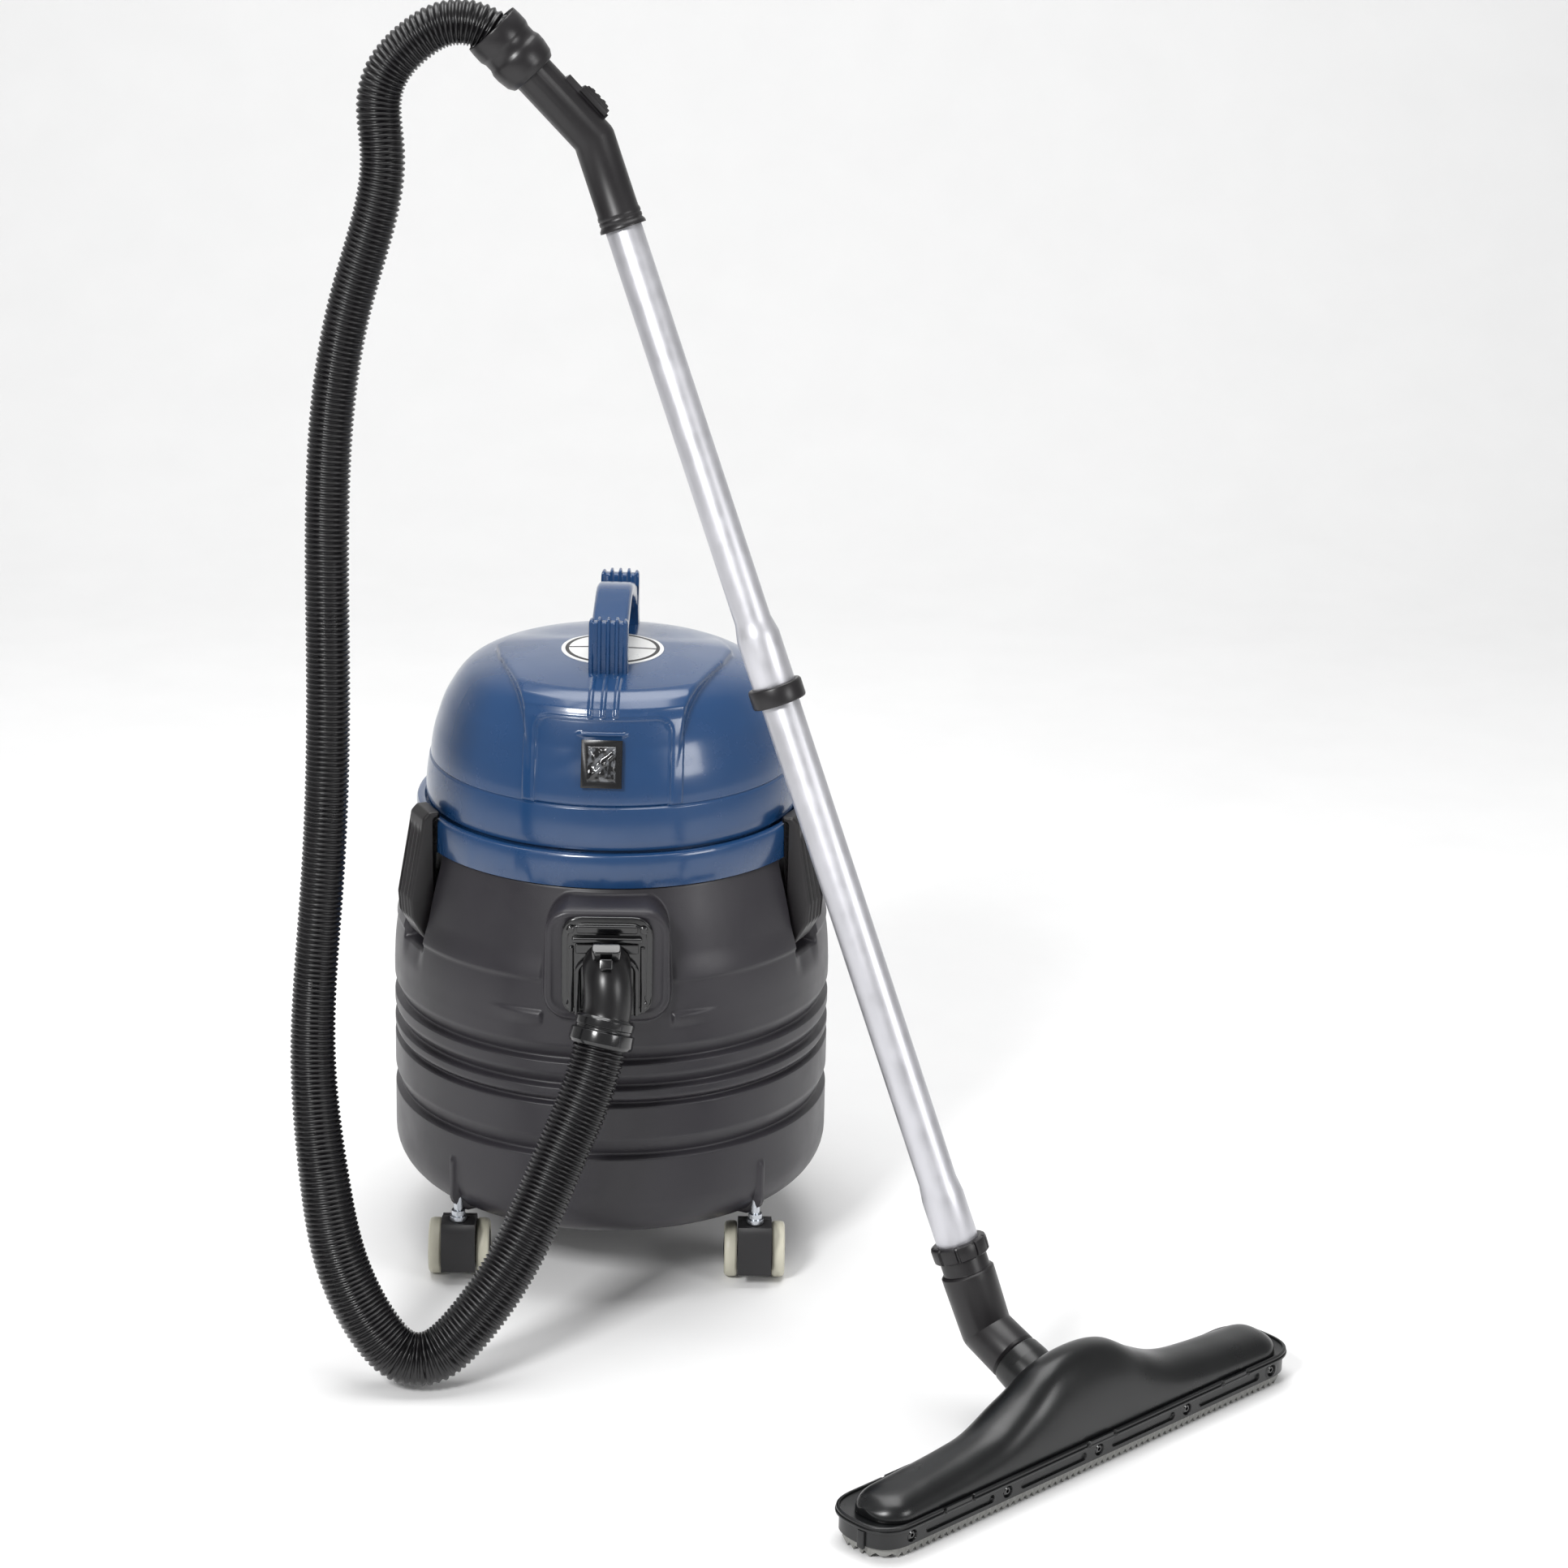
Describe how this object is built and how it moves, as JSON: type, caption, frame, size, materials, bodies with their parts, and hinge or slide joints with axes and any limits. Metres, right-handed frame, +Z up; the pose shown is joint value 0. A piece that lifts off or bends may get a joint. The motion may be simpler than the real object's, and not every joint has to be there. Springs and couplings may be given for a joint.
{
  "type": "wet and dry canister vacuum cleaner",
  "caption": "Wet and dry canister vacuum cleaner on twin-wheel casters, with a lift-off motor head, a corrugated hose, a two-part wand and a wide floor tool.",
  "frame": {"origin": "on the floor, below the middle of the whole machine's bounding box", "axes": "+Z up, -Y towards the hose inlet and the switch, +X to the side the wand leans to"},
  "size_m": [0.8455, 0.8345, 1.1481],
  "materials": {
    "tank_plastic": "satin moulded",
    "blue_gloss": "gloss moulded",
    "black_plastic": "satin moulded",
    "black_gloss": "gloss moulded",
    "hose_plastic": "satin corrugated",
    "wand_aluminium": "satin anodised",
    "zinc": "zinc plated",
    "steel": "plain",
    "tyre_cream": "smooth",
    "hood_plastic": "satin moulded",
    "seal_rubber": "smooth",
    "strip_rubber": "translucent, ribbed",
    "tool_plastic": "satin moulded",
    "badge_white": "printed label",
    "clear_cover": "clear soft cover",
    "switch_black": "gloss",
    "filter_cloth": "woven cloth",
    "foam": "open cell foam",
    "deck_grey": "satin moulded",
    "float_white": "smooth",
    "motor_metal": "as pressed"
  },
  "bodies": {
    "tank": {"tank_shell": "tank_plastic", "tank_gasket": "seal_rubber", "inlet_plate": "black_gloss", "inlet_screws": "steel", "inlet_elbow": "black_gloss", "inlet_deflector": "deck_grey", "latch_pins": "steel", "caster_stems": "zinc", "hose": "hose_plastic", "hose_top_cuff": "black_plastic"},
    "inlet_cuff": {"hose_inlet_cuff": "black_gloss"},
    "latch_left": {"latch_left": "black_plastic"},
    "latch_right": {"latch_right": "black_plastic"},
    "head": {"head_ring": "blue_gloss", "motor_base": "deck_grey", "head_dome": "blue_gloss", "carry_handle": "blue_gloss", "head_screws": "steel", "badge": "badge_white", "switch_bezel": "switch_black", "switch_cover": "clear_cover", "exhaust_grille": "black_plastic", "power_inlet": "black_plastic", "motor_can": "motor_metal", "motor_gasket": "seal_rubber", "motor_bearings": "steel", "acoustic_foam": "foam", "filter_cage": "deck_grey", "cloth_filter": "filter_cloth"},
    "rotor": {"motor_rotor": "steel", "fan_impeller": "motor_metal"},
    "rocker": {"switch_rocker": "switch_black"},
    "float": {"float_ball": "float_white"},
    "handle": {"handle_grip": "black_plastic"},
    "relief": {"relief_slider": "black_plastic"},
    "wand_top": {"wand_upper": "wand_aluminium", "wand_ring": "black_plastic"},
    "wand_bottom": {"wand_lower": "wand_aluminium"},
    "tool_neck": {"tool_elbow": "black_plastic"},
    "floor_tool": {"tool_body": "tool_plastic", "tool_base": "tool_plastic", "tool_strip": "strip_rubber", "tool_screws": "steel"},
    "caster_front_left_fork": {"caster_front_left_hood": "hood_plastic", "caster_front_left_axle": "steel"},
    "caster_front_left_wheels": {"caster_front_left_hubs": "hood_plastic", "caster_front_left_tyres": "tyre_cream"},
    "caster_front_right_fork": {"caster_front_right_hood": "hood_plastic", "caster_front_right_axle": "steel"},
    "caster_front_right_wheels": {"caster_front_right_hubs": "hood_plastic", "caster_front_right_tyres": "tyre_cream"},
    "caster_rear_left_fork": {"caster_rear_left_hood": "hood_plastic", "caster_rear_left_axle": "steel"},
    "caster_rear_left_wheels": {"caster_rear_left_hubs": "hood_plastic", "caster_rear_left_tyres": "tyre_cream"},
    "caster_rear_right_fork": {"caster_rear_right_hood": "hood_plastic", "caster_rear_right_axle": "steel"},
    "caster_rear_right_wheels": {"caster_rear_right_hubs": "hood_plastic", "caster_rear_right_tyres": "tyre_cream"}
  },
  "joints": [
    {"name": "head_lift", "type": "slide", "parent": "tank", "child": "head", "axis": [0, 0, 1], "range_m": [0, 0.33]},
    {"name": "motor_spin", "type": "hinge", "parent": "head", "child": "rotor", "pos_m": [-0.1605, 0.2213, 0.45], "axis": [0, 0, 1], "continuous": true},
    {"name": "rocker_tilt", "type": "hinge", "parent": "head", "child": "rocker", "pos_m": [-0.16695, 0.07359, 0.49052], "axis": [0.999, -0.0436, 0], "range_deg": [-8, 8]},
    {"name": "float_rise", "type": "slide", "parent": "head", "child": "float", "axis": [0, 0, 1], "range_m": [0, 0.06]},
    {"name": "latch_left_swing", "type": "hinge", "parent": "tank", "child": "latch_left", "pos_m": [-0.32499, 0.1446, 0.316], "axis": [0.4226, -0.9063, 0], "range_deg": [0, 88]},
    {"name": "latch_right_swing", "type": "hinge", "parent": "tank", "child": "latch_right", "pos_m": [0.004, 0.1446, 0.316], "axis": [0.4226, 0.9063, 0], "range_deg": [0, 88]},
    {"name": "caster_front_left_swivel", "type": "hinge", "parent": "tank", "child": "caster_front_left_fork", "pos_m": [-0.2925, 0.0843, 0], "axis": [0, 0, 1], "continuous": true},
    {"name": "caster_front_left_roll", "type": "hinge", "parent": "caster_front_left_fork", "child": "caster_front_left_wheels", "pos_m": [-0.2925, 0.1023, 0.025], "axis": [1, 0, 0], "continuous": true},
    {"name": "caster_front_right_swivel", "type": "hinge", "parent": "tank", "child": "caster_front_right_fork", "pos_m": [-0.0285, 0.0843, 0], "axis": [0, 0, 1], "continuous": true},
    {"name": "caster_front_right_roll", "type": "hinge", "parent": "caster_front_right_fork", "child": "caster_front_right_wheels", "pos_m": [-0.0285, 0.1023, 0.025], "axis": [1, 0, 0], "continuous": true},
    {"name": "caster_rear_left_swivel", "type": "hinge", "parent": "tank", "child": "caster_rear_left_fork", "pos_m": [-0.2925, 0.3583, 0], "axis": [0, 0, 1], "continuous": true},
    {"name": "caster_rear_left_roll", "type": "hinge", "parent": "caster_rear_left_fork", "child": "caster_rear_left_wheels", "pos_m": [-0.2925, 0.3763, 0.025], "axis": [1, 0, 0], "continuous": true},
    {"name": "caster_rear_right_swivel", "type": "hinge", "parent": "tank", "child": "caster_rear_right_fork", "pos_m": [-0.0285, 0.3583, 0], "axis": [0, 0, 1], "continuous": true},
    {"name": "caster_rear_right_roll", "type": "hinge", "parent": "caster_rear_right_fork", "child": "caster_rear_right_wheels", "pos_m": [-0.0285, 0.3763, 0.025], "axis": [1, 0, 0], "continuous": true},
    {"name": "inlet_cuff_turn", "type": "hinge", "parent": "tank", "child": "inlet_cuff", "pos_m": [-0.1645, -0.0267, 0.275], "axis": [-0.2005, -0.3308, -0.9222], "continuous": true},
    {"name": "handle_turn", "type": "hinge", "parent": "tank", "child": "handle", "pos_m": [-0.175, 0.0008, 1.0375], "axis": [-0.69, 0, 0.7238], "range_deg": [-30, 30]},
    {"name": "relief_slide", "type": "slide", "parent": "handle", "child": "relief", "axis": [-0.69, 0, 0.7238], "range_m": [0, 0.014]},
    {"name": "wand_turn", "type": "hinge", "parent": "handle", "child": "wand_top", "pos_m": [-0.175, 0.0008, 1.0375], "axis": [-0.3267, 0.1597, 0.9315], "range_deg": [-40, 40]},
    {"name": "wand_pull", "type": "slide", "parent": "wand_top", "child": "wand_bottom", "axis": [0.3267, -0.1597, -0.9315], "range_m": [0, 0.035]},
    {"name": "neck_turn", "type": "hinge", "parent": "wand_bottom", "child": "tool_neck", "pos_m": [0.1615, -0.1637, 0.078], "axis": [-0.3267, 0.1597, 0.9315], "range_deg": [-45, 45]},
    {"name": "tool_turn", "type": "hinge", "parent": "tool_neck", "child": "floor_tool", "pos_m": [0.20386, -0.21009, 0.05198], "axis": [-0.623, 0.6822, 0.3827], "range_deg": [-35, 35]}
  ]
}
